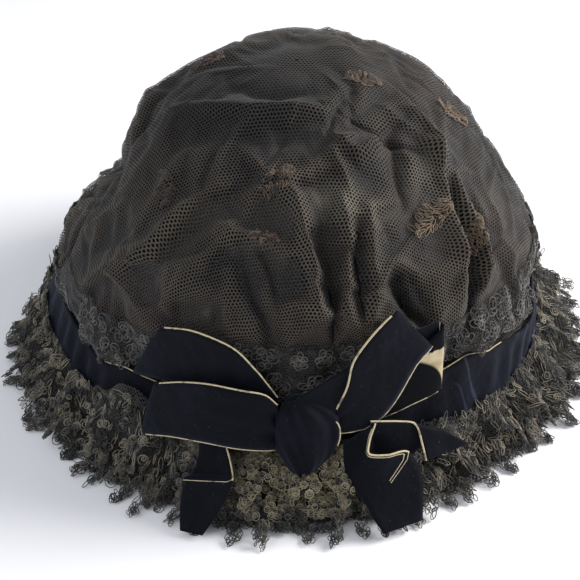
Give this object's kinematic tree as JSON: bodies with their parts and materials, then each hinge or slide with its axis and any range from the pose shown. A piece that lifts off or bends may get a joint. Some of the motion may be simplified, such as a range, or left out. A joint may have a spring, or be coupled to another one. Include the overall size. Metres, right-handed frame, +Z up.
{
  "type": "mourning bonnet",
  "caption": "Puffed crown of black net over a dark lining, with a scalloped lace border, a velvet band tied in a bow, and gathered lace ruffles spread round its foot.",
  "frame": {"origin": "on the surface it lies on, under the middle of its outline", "axes": "+Z up; the bow faces -Y; the wearer's left is +X"},
  "size_m": [0.252, 0.252, 0.136],
  "materials": {
    "silk_net": "fine open net, aged black silk gone brown on its folds",
    "dark_lining": "plain matt dark silk",
    "black_lace": "matt silk lace with an olive sheen",
    "silk_velvet": "blue-black velvet ribbon with pale edges and a pale satin back"
  },
  "bodies": {
    "root": {"crown_net": "silk_net", "crown_lining": "dark_lining", "crown_lace_border": "black_lace", "ribbon_band": "silk_velvet", "bow_knot": "silk_velvet", "bow_loop_left_upper": "silk_velvet", "bow_loop_left_lower": "silk_velvet", "bow_loop_right": "silk_velvet", "bow_tail_left": "silk_velvet", "bow_tail_right_long": "silk_velvet", "bow_tail_right_short": "silk_velvet", "lace_ruffle_upper": "black_lace", "lace_ruffle_lower": "black_lace"}
  },
  "joints": []
}
